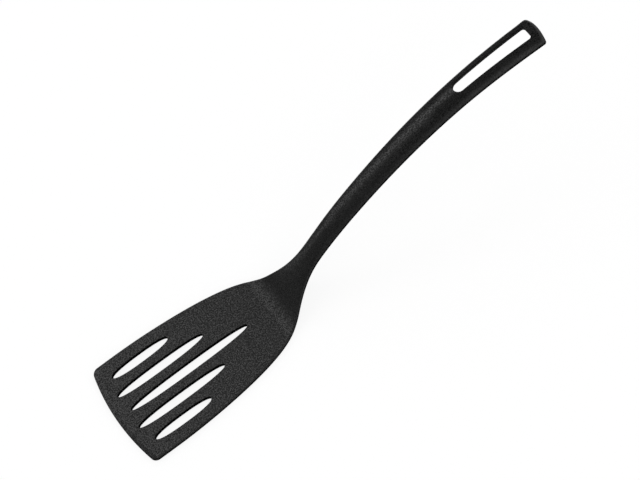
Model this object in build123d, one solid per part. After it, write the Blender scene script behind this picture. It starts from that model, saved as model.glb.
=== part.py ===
from build123d import *
import math
import os

import numpy as np

# A slotted kitchen and grill turner, moulded in one piece of black nylon. Millimetres.
# It is drawn with X from the front edge of the blade to the end of the handle, Y across it,
# and Z up from the flat underside of the blade, and moved to its own frame at the end.

# Whole moulding
LENGTH = 320.0
SHELL = 2.2                     # wall thickness, the same all over

# Plan outline: distance from the front edge, and half the width there
OUTLINE = (
    (20.0, 37.75),
    (60.0, 35.5),
    (90.0, 30.5),
    (108.0, 23.75),
    (120.0, 16.0),
    (130.0, 10.5),
    (140.0, 7.5),
    (152.0, 7.0),
    (235.0, 8.5),
    (318.0, 10.25),
)
WIDEST_X = OUTLINE[0][0]
LAST_X = OUTLINE[-1][0]
FLARE = 0.012                   # slope of the handle's side at its end
FRONT_RADIUS = 165.0            # bow of the front edge
FRONT_CORNER = 4.2
END_RADIUS = 38.0               # bow of the end of the handle
END_CORNER = 1.9

# Bevel on the top of the front edge
BEVEL_WIDTH = 2.8
BEVEL_DEPTH = 0.55
BEVEL_SPAN = 30                 # degrees it is turned through, each side of the middle

# Side profile: the crest is the highest line along the middle, the rim is the bottom of the side walls.
# Both are flat along the blade, bend up at the heel and then rise through these points.
HEEL_ANGLE = math.radians(35.0)
HEEL_RADIUS = 20.0
CREST_HEEL_X = 107.0
CREST = ((150.0, 28.5), (185.0, 46.5), (225.0, 61.0), (270.0, 70.5), (LAST_X, 73.0))
RIM_HEEL_X = CREST_HEEL_X + SHELL * math.tan(HEEL_ANGLE / 2)
DEPTHS = (5.0, 6.0, 6.5, 6.5, 6.5)      # of the side walls, from the crest to the rim, at those places
RIM = tuple((x, height - depth) for (x, height), depth in zip(CREST, DEPTHS))

# Cross-section: flat at the heel, arched to its full curve at ARCH_FULL_X, and eased again from END_ARCH_X
ARCH_RADIUS = 14.5
ARCH_FULL_X = 158.0
END_ARCH_X = 240.0
END_ARCH_RADIUS = 19.0
ARCH_MARGIN = 1.5               # how far the arched top is drawn past the outline before it is cut

# Stiffening channel under the neck and handle
CHANNEL_START = 124.0
CHANNEL_NOSE = 5.0              # length of its rounded front
CHANNEL_CORNER = 1.6

# Blade slots: front tip, back tip, distance from the middle
SLOT_WIDTH = 6.5
SLOT_FULLNESS = 2.45             # 2 is an ellipse, more is squarer
SLOT_POINTS = 28
SLOT_PITCH = 12.9
CENTRE_SLOT = (10.4, 92.0, 0.0)
INNER_SLOT = (8.3, 68.3, SLOT_PITCH)
OUTER_SLOT = (12.2, 51.0, 2 * SLOT_PITCH)

# Hanging slot in the handle: fully round at the near end, squarer at the far end
HANG_START = 261.2
HANG_END = 313.6
HANG_NEAR_HALF = 3.85
HANG_FAR_HALF = 4.65
HANG_CORNER = 1.9

# Blocks that cut the model reach past it by these amounts
CLEAR = 30.0
HALF_SPAN = 60.0
TOP = 120.0

# How many places the curves are drawn through, and the step that slopes are measured over
OUTLINE_PLACES = 40
PROFILE_PLACES = 25
CHANNEL_PLACES = 30
NECK_SECTIONS = 7
HANDLE_SECTIONS = 12
SLOPE_STEP = 0.1


def spline_function(points, first_slope, last_slope):
    """The smooth curve y(x) through the points, with the given slopes at its two ends."""
    x = np.array([point[0] for point in points])
    y = np.array([point[1] for point in points])
    step = np.diff(x)
    rise = np.diff(y) / step
    count = len(x)
    matrix = np.eye(count)
    target = np.zeros(count)
    target[0] = first_slope
    target[-1] = last_slope
    for i in range(1, count - 1):
        matrix[i, i - 1] = step[i]
        matrix[i, i] = 2 * (step[i - 1] + step[i])
        matrix[i, i + 1] = step[i - 1]
        target[i] = 3 * (step[i] * rise[i - 1] + step[i - 1] * rise[i])
    slope = np.linalg.solve(matrix, target)

    def value(at):
        i = min(max(int(np.searchsorted(x, at)) - 1, 0), count - 2)
        t = (at - x[i]) / step[i]
        start = (1 + 2 * t) * (1 - t) ** 2 * y[i] + t * (1 - t) ** 2 * step[i] * slope[i]
        finish = t * t * (3 - 2 * t) * y[i + 1] + t * t * (t - 1) * step[i] * slope[i + 1]
        return float(start + finish)

    return value


def profile_line(base, heel_x, radius, points):
    """A line of the side profile as a height at any X, and the X where its heel bend ends."""
    bend_x = heel_x + radius * math.sin(HEEL_ANGLE)
    bend_z = base + radius * (1 - math.cos(HEEL_ANGLE))
    curve = spline_function(((bend_x, bend_z),) + points, math.tan(HEEL_ANGLE), 0.0)

    def height(at):
        if at <= heel_x:
            return base
        if at <= bend_x:
            return base + radius - math.sqrt(radius**2 - (at - heel_x) ** 2)
        return curve(min(at, LAST_X))

    return height, bend_x


outline_half = spline_function(OUTLINE, 0.0, FLARE)
crest, CREST_BEND_X = profile_line(SHELL, CREST_HEEL_X, HEEL_RADIUS, CREST)
rim, RIM_BEND_X = profile_line(0.0, RIM_HEEL_X, HEEL_RADIUS + SHELL, RIM)


def half_width(at):
    """Half the width of the outline, between its rounded corners."""
    return outline_half(min(max(at, WIDEST_X), LAST_X))


def bow_depth(at_y, radius):
    """How far an edge bowed to a radius has curved back at a distance from the middle."""
    return radius - math.sqrt(radius**2 - at_y**2)


def prism(sketch):
    """A plan shape run up through the whole height."""
    return extrude(Plane.XY.offset(-CLEAR) * sketch, TOP + CLEAR)


def plan_outline():
    """The whole outline seen from above."""
    side_end = LAST_X - END_CORNER
    side = [(float(x), half_width(x)) for x in np.linspace(WIDEST_X, side_end, OUTLINE_PLACES)]
    front_y = side[0][1]
    end_y = side[-1][1]
    front_x = bow_depth(front_y, FRONT_RADIUS)
    end_x = LENGTH - bow_depth(end_y, END_RADIUS)
    half = [
        Line((front_x, front_y), side[0]),
        Spline(side, tangents=[(1, 0), (1, FLARE)]),
        Line(side[-1], (end_x, end_y)),
    ]
    bows = [
        ThreePointArc((front_x, -front_y), (0, 0), (front_x, front_y)),
        ThreePointArc((end_x, end_y), (LENGTH, 0), (end_x, -end_y)),
    ]
    face = make_face(Curve() + half + bows + [mirror(edge, Plane.XZ) for edge in half])
    face = fillet([corner for corner in face.vertices() if corner.X < front_x + 1], FRONT_CORNER)
    return fillet([corner for corner in face.vertices() if corner.X > end_x - 1], END_CORNER)


def block_under(height, x_from, x_to, heel_x, bend_x):
    """Everything below a line of the side profile, between two places."""
    middle = (heel_x + bend_x) / 2
    edges = [
        Line((x_from, height(x_from)), (heel_x, height(heel_x))),
        ThreePointArc((heel_x, height(heel_x)), (middle, height(middle)), (bend_x, height(bend_x))),
    ]
    if x_to > bend_x:
        curve = [(float(x), height(x)) for x in np.linspace(bend_x, LAST_X, PROFILE_PLACES)]
        edges.append(Spline(curve, tangents=[(1, math.tan(HEEL_ANGLE)), (1, 0)]))
        edges.append(Line(curve[-1], (x_to, curve[-1][1])))
    edges.append(Polyline((x_to, height(x_to)), (x_to, -CLEAR), (x_from, -CLEAR), (x_from, height(x_from))))
    return extrude(Plane.XZ.offset(-HALF_SPAN) * make_face(Curve() + edges), 2 * HALF_SPAN)


def smooth_step(at, start, finish):
    """0 up to start, 1 from finish, and a smooth rise between."""
    t = min(max((at - start) / (finish - start), 0.0), 1.0)
    return t * t * (3 - 2 * t)


def arch_curvature(at):
    """Curvature of the cross-section: none at the heel, most along the handle, less at its end."""
    rise = smooth_step(at, CREST_BEND_X, ARCH_FULL_X) / ARCH_RADIUS
    ease = smooth_step(at, END_ARCH_X, LAST_X) * (1 / ARCH_RADIUS - 1 / END_ARCH_RADIUS)
    return rise - ease


def arched_section(at, inset):
    """The cross-section under the arched top at one X, with the top moved inwards by the inset."""
    slope = (crest(at + SLOPE_STEP / 2) - crest(at - SLOPE_STEP / 2)) / SLOPE_STEP
    top = crest(at) - inset * math.hypot(1, slope)
    reach = half_width(at) + ARCH_MARGIN
    curvature = arch_curvature(at)
    if curvature > 0:
        edge = top - bow_depth(reach, 1 / curvature - inset)
        arch = ThreePointArc((-reach, edge), (0, top), (reach, edge))
    else:
        edge = top
        arch = Line((-reach, edge), (reach, edge))
    base = Polyline((reach, edge), (reach, -CLEAR), (-reach, -CLEAR), (-reach, edge))
    return Plane((at, 0, 0), x_dir=(0, 1, 0), z_dir=(1, 0, 0)) * make_face(Curve() + [arch, base])


def arched_block(inset):
    """Everything below the arched top of the neck and handle."""
    neck = np.linspace(CREST_BEND_X, ARCH_FULL_X, NECK_SECTIONS)
    handle = np.linspace(ARCH_FULL_X, LAST_X, HANDLE_SECTIONS)
    stations = [*neck, *handle[1:], LENGTH + SHELL]
    return loft([arched_section(float(x), inset) for x in stations])


def channel_plan():
    """The stiffening channel seen from below, one wall thickness inside the outline."""
    nose_x = CHANNEL_START + CHANNEL_NOSE
    end_x = LENGTH - SHELL
    stations = np.linspace(nose_x, LAST_X - END_CORNER, CHANNEL_PLACES)
    side = [(float(x), half_width(x) - SHELL) for x in stations]
    upper = Spline(side)
    end_y = side[-1][1]
    edges = [
        ThreePointArc((nose_x, -side[0][1]), (CHANNEL_START, 0), side[0]),
        upper,
        Polyline(side[-1], (end_x, end_y), (end_x, -end_y), (side[-1][0], -end_y)),
        mirror(upper, Plane.XZ),
    ]
    face = make_face(Curve() + edges)
    return fillet([corner for corner in face.vertices() if corner.X > end_x - 1], CHANNEL_CORNER)


def slot_plan(front_x, back_x, offset):
    """One blade slot: long and narrow, fuller than an ellipse, with small rounded tips."""
    half_length = (back_x - front_x) / 2
    power = 2 / SLOT_FULLNESS
    points = []
    for i in range(SLOT_POINTS):
        angle = 2 * math.pi * i / SLOT_POINTS
        along = math.copysign(abs(math.cos(angle)) ** power, math.cos(angle))
        across = math.copysign(abs(math.sin(angle)) ** power, math.sin(angle))
        points.append((front_x + half_length * (1 + along), offset + SLOT_WIDTH / 2 * across))
    return make_face(Spline(points, periodic=True))


def hanging_slot_plan():
    """The long hanging slot in the handle."""
    round_x = HANG_START + HANG_NEAR_HALF
    near = ThreePointArc((round_x, HANG_NEAR_HALF), (HANG_START, 0), (round_x, -HANG_NEAR_HALF))
    far = Polyline(
        (round_x, -HANG_NEAR_HALF),
        (HANG_END, -HANG_FAR_HALF),
        (HANG_END, HANG_FAR_HALF),
        (round_x, HANG_NEAR_HALF),
    )
    face = make_face(Curve() + [near, far])
    return fillet([corner for corner in face.vertices() if corner.X > HANG_END - 1], HANG_CORNER)


def front_bevel():
    """What the bevel takes off the top of the front edge."""
    overrun = BEVEL_WIDTH
    low = SHELL - 2 * BEVEL_DEPTH
    profile = Polyline(
        (BEVEL_WIDTH, SHELL),
        (-overrun, low),
        (-overrun, SHELL + overrun),
        (BEVEL_WIDTH, SHELL + overrun),
        close=True,
    )
    half = revolve(Plane.XZ * make_face(profile), Axis((FRONT_RADIUS, 0, 0), (0, 0, 1)), BEVEL_SPAN)
    return half + mirror(half, Plane.XZ)


def slotted_turner():
    """The whole moulding, in the frame it is drawn in."""
    blade_top = block_under(crest, -CLEAR, CREST_BEND_X, CREST_HEEL_X, CREST_BEND_X)
    below = block_under(rim, -CLEAR, LENGTH + CLEAR, RIM_HEEL_X, RIM_BEND_X)
    solid = (blade_top + arched_block(0.0) - below) & prism(plan_outline())
    solid -= arched_block(SHELL) & prism(channel_plan())
    for front_x, back_x, offset in (CENTRE_SLOT, INNER_SLOT, OUTER_SLOT):
        for side in {offset, -offset}:
            solid -= prism(slot_plan(front_x, back_x, side))
    solid -= prism(hanging_slot_plan())
    return solid - front_bevel()


# The part's own frame has its origin under the middle of the moulding, on the resting face.
moulding = Pos(-LENGTH / 2, 0, 0) * slotted_turner()
os.makedirs("parts", exist_ok=True)
export_step(moulding, "parts/slotted_turner.step")
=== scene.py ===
"""A slotted turner moulded in one piece of black nylon, on a plain pale studio floor.

The moulding is drawn in millimetres, with X from the front edge of the blade to the end of the handle,
Y across it and Z up from the underside of the blade, and is moved into the frame of the CAD model at the end.
"""
import math

import bmesh
import bpy
import numpy as np
from mathutils import Matrix, Vector
from mathutils.geometry import delaunay_2d_cdt


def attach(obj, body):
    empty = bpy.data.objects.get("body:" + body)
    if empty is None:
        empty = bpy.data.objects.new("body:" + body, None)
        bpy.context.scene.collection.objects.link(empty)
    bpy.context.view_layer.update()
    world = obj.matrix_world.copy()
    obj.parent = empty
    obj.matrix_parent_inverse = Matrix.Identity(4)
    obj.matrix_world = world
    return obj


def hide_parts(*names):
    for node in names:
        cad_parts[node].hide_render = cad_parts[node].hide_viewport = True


NODE = "slotted_turner"
MM = 0.001

# Whole moulding
LENGTH = 320.0
SHELL = 2.2

# Plan outline: distance from the front edge, and half the width there
OUTLINE = (
    (20.0, 37.75),
    (60.0, 35.5),
    (90.0, 30.5),
    (108.0, 23.75),
    (120.0, 16.0),
    (130.0, 10.5),
    (140.0, 7.5),
    (152.0, 7.0),
    (235.0, 8.5),
    (318.0, 10.25),
)
WIDEST_X = OUTLINE[0][0]
LAST_X = OUTLINE[-1][0]
FLARE = 0.012
FRONT_RADIUS = 165.0
FRONT_CORNER = 4.2
END_RADIUS = 38.0
END_CORNER = 1.9

# Bevel on the top of the front edge, with its line softened over a short distance each side
BEVEL_WIDTH = 2.8
BEVEL_DEPTH = 0.55
BEVEL_SOFT = 0.35

# Side profile: the crest is the highest line along the middle, the rim is the bottom of the side walls
HEEL_ANGLE = math.radians(35.0)
HEEL_RADIUS = 20.0
CREST_HEEL_X = 107.0
CREST = ((150.0, 28.5), (185.0, 46.5), (225.0, 61.0), (270.0, 70.5), (LAST_X, 73.0))
RIM_HEEL_X = CREST_HEEL_X + SHELL * math.tan(HEEL_ANGLE / 2)
DEPTHS = (5.0, 6.0, 6.5, 6.5, 6.5)      # of the side walls, from the crest to the rim, at those places
RIM = tuple((x, height - depth) for (x, height), depth in zip(CREST, DEPTHS))

# Cross-section
ARCH_RADIUS = 14.5
ARCH_FULL_X = 158.0
END_ARCH_RADIUS = 19.0
END_ARCH_X = 240.0

# Stiffening channel under the neck and handle
CHANNEL_START = 124.0
CHANNEL_NOSE = 5.0
CHANNEL_CORNER = 1.6

# Blade slots: front tip, back tip, distance from the middle
SLOT_WIDTH = 6.5
SLOT_FULLNESS = 2.45
SLOT_PITCH = 12.9
CENTRE_SLOT = (10.4, 92.0, 0.0)
INNER_SLOT = (8.3, 68.3, SLOT_PITCH)
OUTER_SLOT = (12.2, 51.0, 2 * SLOT_PITCH)

# Hanging slot
HANG_START = 261.2
HANG_END = 313.6
HANG_NEAR_HALF = 3.85
HANG_FAR_HALF = 4.65
HANG_CORNER = 1.9

# Rounded fall of the top at the end of the handle
END_FALL_RADIUS = 3.0
END_FALL_ANGLE = math.radians(60)

# Small radii left by the mould
BLADE_EDGE = 0.35
HANDLE_EDGE = 1.9
END_EDGE = 1.4
LOWER_EDGE = 0.3
PAINTED_SHADE_FOOT = 1.2                       # height of the foot of the outer wall that gets painted shade
SLOT_EDGE = 0.25

# Materials, by their order on the mesh. The drain slots, the top edge of the hanging slot and the foot of the
# outer wall
# get painted shade: a near-black material with almost no shine, standing in for the shade that falls there.
# The rest has the mould's grain.
GRAINED, PAINTED_SHADE = 0, 1

# How finely the mesh is drawn
GRID = 1.1                      # distance between its points
CORNER_GRID = 0.35              # the same round a small corner
ROUND_STEPS = 5                 # faces across a rounded edge
HOLD = 0.4                      # width of the strip that keeps the face beside a rounded edge flat
HOLD_SHARE = 0.3                # most of a wall's height that such a strip may take
PAINTED_SHADE_FOOT_SHARE = 0.9                 # and that the painted-shade foot may take
CLEARANCE = 0.55 * GRID         # least distance between the spread points and a line
BOW_GRID = 0.7 * GRID           # distance between the points of a row along a bowed end
SLOPE_STEP = 0.05               # half the length over which a slope is measured
MERGE_DISTANCE = 1e-6           # closer than this, two points are the same


# ---------------------------------------------------------------- shape

def spline(points, first_slope, last_slope):
    """The smooth curve y(x) through the points, with the given slopes at its two ends."""
    x, y = np.array(points).T
    step = np.diff(x)
    rise = np.diff(y) / step
    count = len(x)
    matrix = np.eye(count)
    target = np.zeros(count)
    target[0] = first_slope
    target[-1] = last_slope
    for i in range(1, count - 1):
        matrix[i, i - 1] = step[i]
        matrix[i, i] = 2 * (step[i - 1] + step[i])
        matrix[i, i + 1] = step[i - 1]
        target[i] = 3 * (step[i] * rise[i - 1] + step[i - 1] * rise[i])
    slope = np.linalg.solve(matrix, target)

    def value(at):
        i = np.clip(np.searchsorted(x, at) - 1, 0, count - 2)
        t = (at - x[i]) / step[i]
        start = (1 + 2 * t) * (1 - t) ** 2 * y[i] + t * (1 - t) ** 2 * step[i] * slope[i]
        finish = t * t * (3 - 2 * t) * y[i + 1] + t * t * (t - 1) * step[i] * slope[i + 1]
        return start + finish

    return value


def smooth_step(at, start, finish):
    """0 up to start, 1 from finish, and a smooth rise between."""
    t = np.clip((at - start) / (finish - start), 0, 1)
    return t * t * (3 - 2 * t)


def profile_line(base, heel_x, radius, points):
    """A line of the side profile as a height at any X, and the X where its heel bend ends."""
    bend_x = heel_x + radius * math.sin(HEEL_ANGLE)
    bend_z = base + radius * (1 - math.cos(HEEL_ANGLE))
    curve = spline(((bend_x, bend_z),) + points, math.tan(HEEL_ANGLE), 0.0)

    def height(at):
        bend = base + radius - np.sqrt(radius**2 - np.clip(at - heel_x, 0, bend_x - heel_x) ** 2)
        return np.where(at < bend_x, bend, curve(np.clip(at, bend_x, LAST_X)))

    return height, bend_x


outline_half = spline(OUTLINE, 0.0, FLARE)
crest, CREST_BEND_X = profile_line(SHELL, CREST_HEEL_X, HEEL_RADIUS, CREST)
rim, RIM_BEND_X = profile_line(0.0, RIM_HEEL_X, HEEL_RADIUS + SHELL, RIM)


def half_width(at):
    """Half the width of the outline, between its rounded corners."""
    return outline_half(np.clip(at, WIDEST_X, LAST_X))


def arch_drop(x, y, inset):
    """How far the arched cross-section has fallen at a distance from the middle."""
    curvature = smooth_step(x, CREST_BEND_X, ARCH_FULL_X) / ARCH_RADIUS
    curvature += (1 / END_ARCH_RADIUS - 1 / ARCH_RADIUS) * smooth_step(x, END_ARCH_X, LAST_X)
    curvature = curvature / (1 - inset * curvature)
    return curvature * y**2 / (1 + np.sqrt(1 - (curvature * y) ** 2))


def bevel_drop(x, y):
    """How far the bevel lowers the top at a place."""
    inside = FRONT_RADIUS - np.hypot(x - FRONT_RADIUS, y)
    before = BEVEL_WIDTH - inside
    bend = (np.clip(before, -BEVEL_SOFT, BEVEL_SOFT) + BEVEL_SOFT) ** 2 / (4 * BEVEL_SOFT)
    ramp = bend + np.clip(before - BEVEL_SOFT, 0, None)
    return np.where(x < WIDEST_X, ramp * BEVEL_DEPTH / BEVEL_WIDTH, 0)


def end_drop(x, y):
    """How far the top has rounded down at the end of the handle."""
    inside = END_RADIUS - np.hypot(x - LENGTH + END_RADIUS, y)
    reach = END_FALL_RADIUS * math.sin(END_FALL_ANGLE)
    past = np.where(x > LENGTH - 2 * reach, np.clip(reach - inside, 0, reach), 0)
    return END_FALL_RADIUS - np.sqrt(END_FALL_RADIUS**2 - past**2)


def top(x, y):
    """Height of the top of the moulding."""
    return crest(x) - arch_drop(x, y, 0.0) - bevel_drop(x, y) - end_drop(x, y)


def bottom(x, y):
    """Height of the blade's underside and of the bottom of the side walls."""
    return rim(x)


def ceiling(x, y):
    """Height of the ceiling of the channel, one wall thickness inside the top."""
    slope = (crest(x + SLOPE_STEP) - crest(x - SLOPE_STEP)) / (2 * SLOPE_STEP)
    return crest(x) - SHELL * np.hypot(1, slope) - arch_drop(x, y, SHELL)


# ---------------------------------------------------------------- lines in plan

def arc(centre, radius, first, last, spacing):
    """Points on an arc between two angles, all but the last."""
    count = max(2, math.ceil(abs(last - first) * radius / spacing))
    angle = np.linspace(first, last, count, endpoint=False)
    return np.stack([centre[0] + radius * np.cos(angle), centre[1] + radius * np.sin(angle)], 1)


def run(first, last, spacing):
    """Points on a straight line, all but the last."""
    first, last = np.array(first), np.array(last)
    count = max(1, math.ceil(np.linalg.norm(last - first) / spacing))
    return first + (last - first) * np.linspace(0, 1, count, endpoint=False)[:, None]


def mirrored(half):
    """A closed line from its half on the +Y side, which starts and ends on the middle line."""
    return np.concatenate([half, half[-2:0:-1] * (1, -1)])


def outline():
    """The outline of the whole moulding, clockwise from the middle of the front edge."""
    corner_y = half_width(0) - FRONT_CORNER
    corner_x = FRONT_RADIUS - math.sqrt((FRONT_RADIUS - FRONT_CORNER) ** 2 - corner_y**2)
    front_angle = math.pi - math.atan2(corner_y, FRONT_RADIUS - corner_x)
    end_y = half_width(LAST_X - END_CORNER) - END_CORNER
    bow_x = LENGTH - END_RADIUS
    end_x = bow_x + math.sqrt((END_RADIUS - END_CORNER) ** 2 - end_y**2)
    end_angle = math.atan2(end_y, end_x - bow_x)
    count = math.ceil((end_x - corner_x) / GRID)
    side_x = np.linspace(corner_x, end_x, count, endpoint=False)
    side_y = half_width(np.minimum(side_x, LAST_X - END_CORNER))
    half = np.concatenate([
        arc((FRONT_RADIUS, 0), FRONT_RADIUS, math.pi, front_angle, GRID),
        arc((corner_x, corner_y), FRONT_CORNER, front_angle, math.pi / 2, CORNER_GRID),
        np.stack([side_x, side_y], 1),
        arc((end_x, end_y), END_CORNER, math.pi / 2, end_angle, CORNER_GRID),
        arc((bow_x, 0), END_RADIUS, end_angle, 0, GRID),
        [(LENGTH, 0)],
    ])
    return mirrored(half)


def blade_slot(front_x, back_x, offset):
    """One blade slot, anticlockwise."""
    half_length = (back_x - front_x) / 2
    angle = np.linspace(0, 2 * math.pi, math.ceil(2 * math.pi * half_length / GRID), endpoint=False)
    along = np.copysign(abs(np.cos(angle)) ** (2 / SLOT_FULLNESS), np.cos(angle))
    across = np.copysign(abs(np.sin(angle)) ** (2 / SLOT_FULLNESS), np.sin(angle))
    return np.stack([front_x + half_length * (1 + along), offset + SLOT_WIDTH / 2 * across], 1)


def hanging_slot():
    """The hanging slot, anticlockwise from the middle of its near end."""
    round_x = HANG_START + HANG_NEAR_HALF
    corner_x = HANG_END - HANG_CORNER
    corner_y = HANG_CORNER - HANG_FAR_HALF
    half = np.concatenate([
        arc((round_x, 0), HANG_NEAR_HALF, math.pi, 1.5 * math.pi, CORNER_GRID),
        run((round_x, -HANG_NEAR_HALF), (corner_x, -HANG_FAR_HALF), GRID),
        arc((corner_x, corner_y), HANG_CORNER, -math.pi / 2, 0, CORNER_GRID),
        run((HANG_END, corner_y), (HANG_END, 0), GRID),
        [(HANG_END, 0)],
    ])
    return mirrored(half)


def channel():
    """The stiffening channel, anticlockwise from the tip of its nose."""
    nose_x = CHANNEL_START + CHANNEL_NOSE
    nose_y = half_width(nose_x) - SHELL
    nose_radius = (CHANNEL_NOSE**2 + nose_y**2) / (2 * CHANNEL_NOSE)
    nose_angle = math.pi + math.asin(nose_y / nose_radius)
    end_x = LENGTH - SHELL
    end_y = half_width(LAST_X - END_CORNER) - SHELL
    corner = (end_x - CHANNEL_CORNER, CHANNEL_CORNER - end_y)
    side_x = np.linspace(nose_x, corner[0], math.ceil((corner[0] - nose_x) / GRID), endpoint=False)
    side_y = SHELL - half_width(np.minimum(side_x, LAST_X - END_CORNER))
    half = np.concatenate([
        arc((CHANNEL_START + nose_radius, 0), nose_radius, math.pi, nose_angle, GRID),
        np.stack([side_x, side_y], 1),
        arc(corner, CHANNEL_CORNER, -math.pi / 2, 0, CORNER_GRID),
        run((end_x, corner[1]), (end_x, 0), GRID),
        [(end_x, 0)],
    ])
    return mirrored(half)


def moved_right(line, distance):
    """A closed line moved to its own right by a distance, which may differ along it."""
    along = np.roll(line, -1, 0) - np.roll(line, 1, 0)
    right = np.stack([along[:, 1], -along[:, 0]], 1) / np.linalg.norm(along, axis=1)[:, None]
    return line + right * np.broadcast_to(distance, len(line))[:, None]


def inside(points, line):
    """Which of the points are inside a closed line."""
    x, y = points[:, :1], points[:, 1:]
    from_x, from_y = line.T
    to_x, to_y = np.roll(line, -1, 0).T
    crosses = (from_y > y) != (to_y > y)
    with np.errstate(divide="ignore", invalid="ignore"):
        at = from_x + (y - from_y) * (to_x - from_x) / (to_y - from_y)
    return (crosses & (x < at)).sum(1) % 2 == 1


# ---------------------------------------------------------------- mesh

class Shell:
    """The growing closed mesh of the moulding."""

    def __init__(self):
        self.points = []
        self.faces = []
        self.material_numbers = []

    def add(self, plan, height):
        """Adds points at plan places and heights, and returns their numbers."""
        first = len(self.points)
        self.points.extend(np.column_stack([plan, height]).tolist())
        return np.arange(first, len(self.points))

    def cover(self, faces, finish):
        """Adds faces, each a list of point numbers, with one material: the grained nylon or the painted
        shade.
        """
        self.faces.extend(faces.tolist())
        self.material_numbers.extend([finish] * len(faces))

    def strip(self, one, other, finish=GRAINED):
        """Faces between two closed lines that have the same number of points."""
        self.cover(np.stack([one, np.roll(one, -1), np.roll(other, -1), other], 1), finish)

    def edge(self, line, surface, radius, side, finish=GRAINED):
        """A rounded edge of a surface along a line: returns the line at the wall and the one on the surface.

        side is 1 on a surface that faces up and -1 on one that faces down.
        """
        lines = []
        for angle in np.linspace(0, math.pi / 2, ROUND_STEPS + 1):
            plan = moved_right(line, radius * (1 - math.cos(angle)))
            height = surface(*plan.T) - side * radius * (1 - math.sin(angle))
            lines.append(self.add(plan, height))
        for one, other in zip(lines, lines[1:]):
            self.strip(one, other, finish)
        plan = moved_right(line, radius + HOLD)
        flat = self.add(plan, surface(*plan.T))
        self.strip(lines[-1], flat)
        return lines[0], flat

    def inner_corner(self, line, surface):
        """The sharp inner corner where the channel's wall meets its ceiling, given like an edge."""
        wall = self.add(line, surface(*line.T))
        plan = moved_right(line, -HOLD)
        flat = self.add(plan, surface(*plan.T))
        self.strip(wall, flat)
        return wall, flat

    def wall(self, upper, lower, finish=GRAINED, painted_shade_foot=0.0):
        """An upright wall between two lines, with a narrow strip at each edge that keeps it flat.

        With a foot height given, the strip at the bottom has that height and gets painted shade: the
        near-black, shineless material.
        """
        points = np.array(self.points)
        high, low = points[upper], points[lower]
        height = (high - low)[:, 2:]
        top_share = np.minimum(HOLD / height, HOLD_SHARE)
        foot_share = np.minimum(painted_shade_foot / height, PAINTED_SHADE_FOOT_SHARE) if painted_shade_foot else top_share
        near_top = high + (low - high) * top_share
        near_bottom = low + (high - low) * foot_share
        first = self.add(near_top[:, :2], near_top[:, 2])
        second = self.add(near_bottom[:, :2], near_bottom[:, 2])
        self.strip(upper, first, finish)
        self.strip(first, second, finish)
        # the foot strip gets painted shade when a foot height is given
        self.strip(second, lower, PAINTED_SHADE if painted_shade_foot else finish)

    def fill(self, border, holes, surface):
        """Triangles over the part of a surface inside one line and outside others."""
        points = np.array(self.points)
        lines = [border, *holes]
        plans = [points[line][:, :2] for line in lines]
        grid = spread_points(plans)
        numbers = np.concatenate([*lines, self.add(grid, surface(*grid.T))])
        edges = []
        first = 0
        for line in lines:
            here = np.arange(first, first + len(line))
            edges.extend(np.stack([here, np.roll(here, -1)], 1).tolist())
            first += len(line)
        flat = np.concatenate([*plans, grid])
        inside_border = 1
        corners = [Vector(point) for point in flat.tolist()]
        result = delaunay_2d_cdt(corners, edges, [], inside_border, MERGE_DISTANCE)
        _, _, cells, sources, _, _ = result
        triangles = np.array([source[0] for source in sources])[np.array(cells)]
        middles = flat[triangles].mean(1)
        for plan in plans[1:]:
            keep = ~inside(middles, plan)
            triangles, middles = triangles[keep], middles[keep]
        self.cover(numbers[triangles], GRAINED)


def spread_points(plans):
    """Places inside the first line, outside the others and clear of them all.

    They are evenly spread, but lie in close rows at the bowed ends and are missing from part of the handle.
    """
    low, high = plans[0].min(0), plans[0].max(0)
    rows = np.arange(low[0] + GRID / 2, high[0], GRID)
    half = math.ceil((high[1] - low[1]) / 2 / GRID)
    columns = np.arange(-half, half + 1) * GRID
    x = np.repeat(rows, len(columns))
    odd_row = np.repeat(np.arange(len(rows)), len(columns)) % 2
    y = np.tile(columns, len(rows)) + np.where(odd_row, GRID / 2, 0)
    grid = np.stack([x, y], 1)
    from_front = FRONT_RADIUS - np.hypot(x - FRONT_RADIUS, y)
    from_end = END_RADIUS - np.hypot(x - LENGTH + END_RADIUS, y)
    # The places that close rows stand in for. A known fault: the second test also takes out those from
    # LENGTH / 2 to the far side of the end's circle, so the handle is drawn flat across its middle there.
    in_rows = abs(from_front - BEVEL_WIDTH) < 2 * BEVEL_SOFT + GRID / 2
    in_rows |= (x > LENGTH / 2) & (from_end < END_FALL_RADIUS + GRID / 2)
    bevel_rows = BEVEL_WIDTH + BEVEL_SOFT * np.arange(-2, 3)
    end_rows = np.arange(CORNER_GRID, END_FALL_RADIUS, CORNER_GRID)
    grid = np.concatenate([
        grid[~in_rows],
        bow_rows(FRONT_RADIUS, bevel_rows, half_width(0)),
        (LENGTH, 0) - bow_rows(END_RADIUS, end_rows, half_width(LENGTH)),
    ])
    keep = inside(grid, plans[0])
    for plan in plans[1:]:
        keep[keep] = ~inside(grid[keep], plan)
    grid = grid[keep]
    border = np.concatenate(plans)
    near = [np.hypot(*(border - place).T).min() for place in grid]
    return grid[np.array(near) > CLEARANCE]


def bow_rows(bow_radius, insets, half_span):
    """Places in rows at some distances inside a bowed end, as they lie at the front edge."""
    reach = math.asin(half_span / bow_radius)
    angle = np.linspace(-reach, reach, math.ceil(2 * half_span / BOW_GRID))
    radius = bow_radius - np.repeat(insets, len(angle))
    angle = np.tile(angle, len(insets))
    return np.stack([bow_radius - radius * np.cos(angle), radius * np.sin(angle)], 1)


def outline_radius(line):
    """Radius of the top edge along the outline: small on the blade, large on the handle, less at its end."""
    on_handle = smooth_step(line[:, 0], CREST_BEND_X, ARCH_FULL_X)
    at_end = smooth_step(line[:, 0], LAST_X - 3 * END_CORNER, LAST_X - END_CORNER)
    return BLADE_EDGE + (HANDLE_EDGE - BLADE_EDGE) * on_handle + (END_EDGE - HANDLE_EDGE) * at_end


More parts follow.
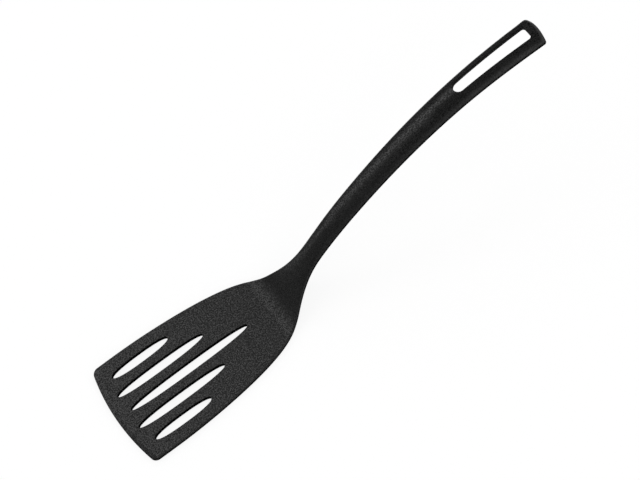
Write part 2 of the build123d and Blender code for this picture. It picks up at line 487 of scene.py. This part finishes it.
def moulding():
    """The whole moulding as a closed mesh object in the CAD's frame."""
    shell = Shell()
    around = outline()
    top_wall, top_border = shell.edge(around, top, outline_radius(around), 1)
    # The lower edge of the outline and the foot of the outer wall get painted shade.
    low_wall, low_border = shell.edge(around, bottom, LOWER_EDGE, -1, PAINTED_SHADE)
    shell.wall(top_wall, low_wall, painted_shade_foot=PAINTED_SHADE_FOOT)

    top_holes, low_holes = [], []
    for front_x, back_x, offset in (CENTRE_SLOT, INNER_SLOT, OUTER_SLOT):
        for side in sorted({offset, -offset}):
            slot = blade_slot(front_x, back_x, side)
            # The slots' edges and walls get painted shade.
            upper, top_hole = shell.edge(slot, top, SLOT_EDGE, 1, PAINTED_SHADE)
            lower, low_hole = shell.edge(slot, bottom, SLOT_EDGE, -1, PAINTED_SHADE)
            shell.wall(upper, lower, PAINTED_SHADE)
            top_holes.append(top_hole)
            low_holes.append(low_hole)

    hang = hanging_slot()
    # The top edge of the hanging slot gets painted shade.
    upper, hang_top = shell.edge(hang, top, SLOT_EDGE, 1, PAINTED_SHADE)
    lower, hang_low = shell.edge(hang, ceiling, SLOT_EDGE, -1)
    shell.wall(upper, lower)

    groove = channel()
    rim_wall, rim_border = shell.edge(groove, bottom, LOWER_EDGE, -1)
    ceiling_wall, ceiling_border = shell.inner_corner(groove, ceiling)
    shell.wall(ceiling_wall, rim_wall)

    shell.fill(top_border, [*top_holes, hang_top], top)
    shell.fill(low_border, [*low_holes, rim_border], bottom)
    shell.fill(ceiling_border, [hang_low], ceiling)

    mesh = bpy.data.meshes.new("turner_moulding")
    mesh.from_pydata((np.array(shell.points) - (LENGTH / 2, 0, 0)) * MM, [], shell.faces)
    mesh.polygons.foreach_set("material_index", shell.material_numbers)
    work = bmesh.new()
    work.from_mesh(mesh)
    bmesh.ops.recalc_face_normals(work, faces=work.faces)
    work.to_mesh(mesh)
    work.free()
    mesh.shade_smooth()
    turner = bpy.data.objects.new("turner_moulding", mesh)
    bpy.context.scene.collection.objects.link(turner)
    return turner


# ---------------------------------------------------------------- material

GRAIN_SCALE = 1300              # features of the noise in a metre
GRAIN_DETAIL = 2                # finer octaves of the noise
GRAIN_TILT = 0.27               # how far the grains lean
GRAIN_SPREAD = (0.38, 0.62)     # values of the noise between which the gloss and the black change
ROUGHNESS = (0.05, 0.65)        # at those two values
BLACKS = (0.001, 0.010)         # how light the material is at those two values
GLOSS_OFFSET = 1.0              # metres from the noise of the leaning grains to that of the gloss
BLACK_OFFSET = 2.0              # and to that of the black
NYLON_IOR = 1.5

# Painted shade: near black with almost no shine, standing in for the shade in the slots and along the foot of
# the walls
PAINTED_SHADE_BLACK = 0.001
PAINTED_SHADE_SHINE = 0.02
PAINTED_SHADE_ROUGHNESS = 0.4


def black_nylon():
    """Black nylon with the fine grain of a spark-eroded mould: each grain leans its own way."""
    material = bpy.data.materials.new("black_nylon")
    material.use_nodes = True
    nodes, links = material.node_tree.nodes, material.node_tree.links
    shader = nodes["Principled BSDF"]
    shader.inputs["IOR"].default_value = NYLON_IOR
    place = nodes.new("ShaderNodeTexCoord").outputs["Object"]

    def noise(at):
        """The grain's noise at a place."""
        node = nodes.new("ShaderNodeTexNoise")
        node.inputs["Scale"].default_value = GRAIN_SCALE
        node.inputs["Detail"].default_value = GRAIN_DETAIL
        links.new(at, node.inputs["Vector"])
        return node.outputs

    def vector_math(operation, one, other=None):
        """One vector alone or combined with another, which may be a link or plain numbers."""
        node = nodes.new("ShaderNodeVectorMath")
        node.operation = operation
        links.new(one, node.inputs[0])
        if isinstance(other, tuple):
            node.inputs[1].default_value = other
        elif other is not None:
            links.new(other, node.inputs[1])
        return node.outputs["Vector"]

    def spread(offset, ends):
        """A value that goes from one end to the other with the grain."""
        moved = vector_math("ADD", place, (offset, 0, 0))
        value = nodes.new("ShaderNodeMapRange")
        value.interpolation_type = "SMOOTHSTEP"
        links.new(noise(moved)["Fac"], value.inputs["Value"])
        value.inputs["From Min"].default_value, value.inputs["From Max"].default_value = GRAIN_SPREAD
        value.inputs["To Min"].default_value, value.inputs["To Max"].default_value = ends
        return value.outputs["Result"]

    lean = vector_math("SUBTRACT", noise(place)["Color"], (0.5, 0.5, 0.5))
    lean = vector_math("MULTIPLY", lean, (GRAIN_TILT, GRAIN_TILT, GRAIN_TILT))
    surface = nodes.new("ShaderNodeNewGeometry").outputs["Normal"]
    leaning = vector_math("NORMALIZE", vector_math("ADD", lean, surface))
    links.new(leaning, shader.inputs["Normal"])
    links.new(spread(GLOSS_OFFSET, ROUGHNESS), shader.inputs["Roughness"])
    links.new(spread(BLACK_OFFSET, BLACKS), shader.inputs["Base Color"])
    return material


def painted_shade_nylon():
    """Painted shade: the same nylon without its grain, dull and deep black, in place of the shade in the
    slots and along the foot of the walls.
    """
    material = bpy.data.materials.new("black_nylon_painted_shade")
    material.use_nodes = True
    shader = material.node_tree.nodes["Principled BSDF"]
    shader.inputs["Base Color"].default_value = (PAINTED_SHADE_BLACK, PAINTED_SHADE_BLACK, PAINTED_SHADE_BLACK, 1)
    shader.inputs["Specular IOR Level"].default_value = PAINTED_SHADE_SHINE
    shader.inputs["Roughness"].default_value = PAINTED_SHADE_ROUGHNESS
    return material


# ---------------------------------------------------------------- studio

TILT = math.radians(35.0)       # of the view from straight down onto the blade
TURN = math.radians(-5.97)      # of the viewer round the blade's normal
ROLL = math.radians(38.55)      # of the picture round the line of sight
DISTANCE = 1.711                # in metres, from the target
LENS = 168.75                   # in millimetres
TARGET = Vector((-0.0059, 0.00536, 0.020))
FARTHEST = 100                  # that the camera sees, in metres

FLOOR_HALF = 15.0
WALL_HEIGHT = 12.0
FLOOR_GREY = 0.25
FLOOR_GLOW = 0.85


def camera():
    """A long lens, at the angle of the photograph."""
    back = Vector((math.sin(TILT) * math.sin(TURN), -math.sin(TILT) * math.cos(TURN), math.cos(TILT)))
    level_up = (Vector((0, 1, 0)) - back.y * back).normalized()
    level_right = level_up.cross(back)
    up = math.cos(ROLL) * level_up + math.sin(ROLL) * level_right
    right = math.cos(ROLL) * level_right - math.sin(ROLL) * level_up
    data = bpy.data.cameras.new("camera")
    data.lens = LENS
    data.clip_end = FARTHEST
    eye = bpy.data.objects.new("camera", data)
    turned = Matrix((right, up, back)).transposed().to_4x4()
    eye.matrix_world = Matrix.Translation(TARGET + DISTANCE * back) @ turned
    bpy.context.scene.collection.objects.link(eye)
    bpy.context.scene.camera = eye


def stage():
    """A large plain pale floor that turns up into walls far away."""
    half = FLOOR_HALF
    ring = [(-half, -half), (half, -half), (half, half), (-half, half)]
    mesh = bpy.data.meshes.new("floor")
    points = [(x, y, 0) for x, y in ring] + [(x, y, WALL_HEIGHT) for x, y in ring]
    walls = [(i, (i + 1) % 4, (i + 1) % 4 + 4, i + 4) for i in range(4)]
    mesh.from_pydata(points, [], [(0, 1, 2, 3), *walls])
    ground = bpy.data.objects.new("floor", mesh)
    material = bpy.data.materials.new("floor")
    material.use_nodes = True
    shader = material.node_tree.nodes["Principled BSDF"]
    shader.inputs["Base Color"].default_value = (FLOOR_GREY, FLOOR_GREY, FLOOR_GREY, 1)
    shader.inputs["Roughness"].default_value = 1.0
    shader.inputs["Specular IOR Level"].default_value = 0.0
    shader.inputs["Emission Color"].default_value = (1, 1, 1, 1)
    shader.inputs["Emission Strength"].default_value = FLOOR_GLOW
    mesh.materials.append(material)
    ground.visible_glossy = False
    ground.visible_shadow = False
    bpy.context.scene.collection.objects.link(ground)


# Soft lights round the studio. Each has a brightness and edges, and an edge is a direction with the two
# distances along it between which the light comes up from nothing to its full brightness.
UP, DOWN = (0, 0, 1), (0, 0, -1)
FRONT, BACK = (-1, 0, 0), (1, 0, 0)
LEFT, RIGHT = (0, -1, 0), (0, 1, 0)
HORIZON = (UP, -0.05, 0.05)
KEY_SLANT = (0.5, 1, 0)
LIGHTS = (
    # key, high on the right
    (1.35, (BACK, -1.0, -0.5), (FRONT, -0.15, 0.05), (KEY_SLANT, 0.2, 0.5), (LEFT, -0.8, -0.7), HORIZON),
    # its dimmer borders
    (0.50, (BACK, -0.25, -0.1), (FRONT, -0.2, 0.0), (RIGHT, 0.7, 0.8), (LEFT, -0.95, -0.8), HORIZON),
    (0.10, (BACK, -0.3, -0.2), (FRONT, -0.15, 0.05), (RIGHT, -0.3, 0.15), (LEFT, -0.8, -0.7), HORIZON),
    # fill, low on the left, stronger towards the back
    (0.05, (LEFT, 0.0, 0.4), (UP, -0.8, -0.3)),
    (0.15, (LEFT, 0.0, 0.4), (BACK, -0.2, 0.2), (UP, -0.8, -0.3)),
    (0.10, (LEFT, 0.55, 1.2), (UP, -0.8, -0.3)),
    (0.85, (LEFT, 0.55, 1.2), (BACK, -0.2, 0.2), (UP, -0.8, -0.3)),
    # softer ones for the back, the far side and the front
    (0.70, (BACK, 0.3, 0.7), (UP, -0.5, 0.0)),
    (0.60, (RIGHT, 0.5, 0.9), (DOWN, 0.05, 0.3)),
    (0.60, (FRONT, 0.5, 0.9), (DOWN, 0.05, 0.3)),
    # the room and the floor
    (0.10, HORIZON, (FRONT, -0.3, -0.05)),
    (0.10, HORIZON, (FRONT, 0.3, 0.6)),
    (0.10, (DOWN, -0.05, 0.05)),
)


def surroundings():
    """The studio's soft lights, as brightness by direction."""
    world = bpy.data.worlds.new("studio")
    world.use_nodes = True
    nodes, links = world.node_tree.nodes, world.node_tree.links
    place = nodes.new("ShaderNodeTexCoord")

    def edge_of_light(direction, start, finish):
        """Smooth rise from 0 to 1 between two distances along a direction."""
        along = nodes.new("ShaderNodeVectorMath")
        along.operation = "DOT_PRODUCT"
        links.new(place.outputs["Generated"], along.inputs[0])
        along.inputs[1].default_value = direction
        rise = nodes.new("ShaderNodeMapRange")
        rise.interpolation_type = "SMOOTHSTEP"
        links.new(along.outputs["Value"], rise.inputs["Value"])
        rise.inputs["From Min"].default_value = start
        rise.inputs["From Max"].default_value = finish
        return rise.outputs["Result"]

    def combined(operation, one, other):
        """Two brightnesses added or multiplied."""
        node = nodes.new("ShaderNodeMath")
        node.operation = operation
        node.inputs[0].default_value = 0
        for value, socket in zip((one, other), node.inputs):
            if isinstance(value, float):
                socket.default_value = value
            else:
                links.new(value, socket)
        return node.outputs[0]

    glow = 0.0
    for brightness, *edges in LIGHTS:
        light = brightness
        for edge in edges:
            light = combined("MULTIPLY", light, edge_of_light(*edge))
        glow = combined("ADD", glow, light)
    links.new(glow, nodes["Background"].inputs["Strength"])
    nodes["Background"].inputs["Color"].default_value = (1, 1, 1, 1)
    bpy.context.scene.world = world
    bpy.context.scene.view_settings.view_transform = "Standard"


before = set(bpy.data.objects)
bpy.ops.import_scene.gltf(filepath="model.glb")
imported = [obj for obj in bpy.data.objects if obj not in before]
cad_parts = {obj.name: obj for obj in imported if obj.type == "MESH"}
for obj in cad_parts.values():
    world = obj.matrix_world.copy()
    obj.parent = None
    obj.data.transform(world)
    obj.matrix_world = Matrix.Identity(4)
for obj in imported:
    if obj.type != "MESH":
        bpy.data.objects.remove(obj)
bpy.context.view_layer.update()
turner = moulding()
turner.data.materials.append(black_nylon())
# the second material paints shade on the slots, the hanging slot's top edge and the foot of the walls
turner.data.materials.append(painted_shade_nylon())
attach(turner, "root")
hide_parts(NODE)
camera()
stage()
surroundings()
